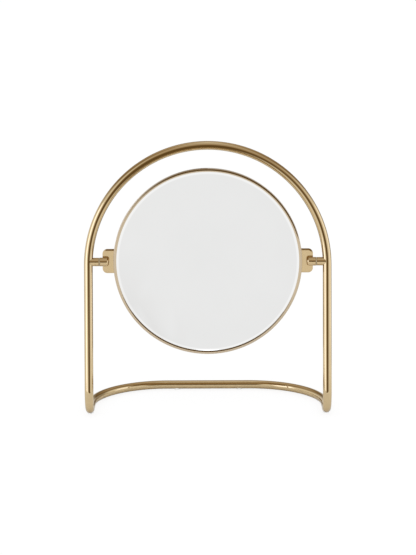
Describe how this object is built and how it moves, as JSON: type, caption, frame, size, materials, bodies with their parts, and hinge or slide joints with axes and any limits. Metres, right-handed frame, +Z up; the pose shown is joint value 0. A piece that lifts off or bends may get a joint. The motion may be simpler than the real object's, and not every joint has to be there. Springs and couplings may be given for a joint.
{
  "type": "table mirror",
  "caption": "Round tilting table mirror in polished brass, on friction pivots inside a leaning arch of bent tube that turns under at the feet into a D-shaped base loop.",
  "frame": {"origin": "middle of the bounding box on the table top, under the frame", "axes": "+Z up, -Y towards the viewer in front of the mirror, +X to the viewer's right; the base loop runs back towards +Y"},
  "size_m": [0.34, 0.1676, 0.3766],
  "materials": {
    "tube_brass": "polished",
    "turned_brass": "polished, turned",
    "plate_brass": "polished",
    "rim_brass": "polished",
    "cover_brass": "satin",
    "screw_brass": "polished",
    "steel": "plain",
    "mirror_glass": "silvered glass",
    "foam": "closed-cell foam",
    "board": "fibreboard",
    "nylon": "oil-filled, amber",
    "silicone": "clear silicone"
  },
  "bodies": {
    "stand": {"frame_arch": "tube_brass", "base_loop": "tube_brass", "leg_sleeve_left": "tube_brass", "leg_sleeve_right": "tube_brass", "pivot_post_left": "turned_brass", "pivot_post_right": "turned_brass", "thrust_washer_left": "nylon", "thrust_washer_right": "nylon", "foot_pad_front_left": "silicone", "foot_pad_front_right": "silicone", "foot_pad_rear_left": "silicone", "foot_pad_rear_right": "silicone"},
    "mirror": {"rim_ring": "rim_brass", "mirror_glass": "mirror_glass", "adhesive_pad": "foam", "backing_board": "board", "back_cover": "cover_brass", "nut_plate_left": "steel", "nut_plate_right": "steel", "hinge_plate_left": "plate_brass", "hinge_plate_right": "plate_brass", "hinge_screws_left": "screw_brass", "hinge_screws_right": "screw_brass", "knuckle_left": "turned_brass", "knuckle_right": "turned_brass", "friction_bush_left": "nylon", "friction_bush_right": "nylon"}
  },
  "joints": [
    {"name": "mirror_tilt", "type": "hinge", "parent": "stand", "child": "mirror", "pos_m": [0, -0.04657, 0.2135], "axis": [1, 0, 0], "continuous": true}
  ]
}
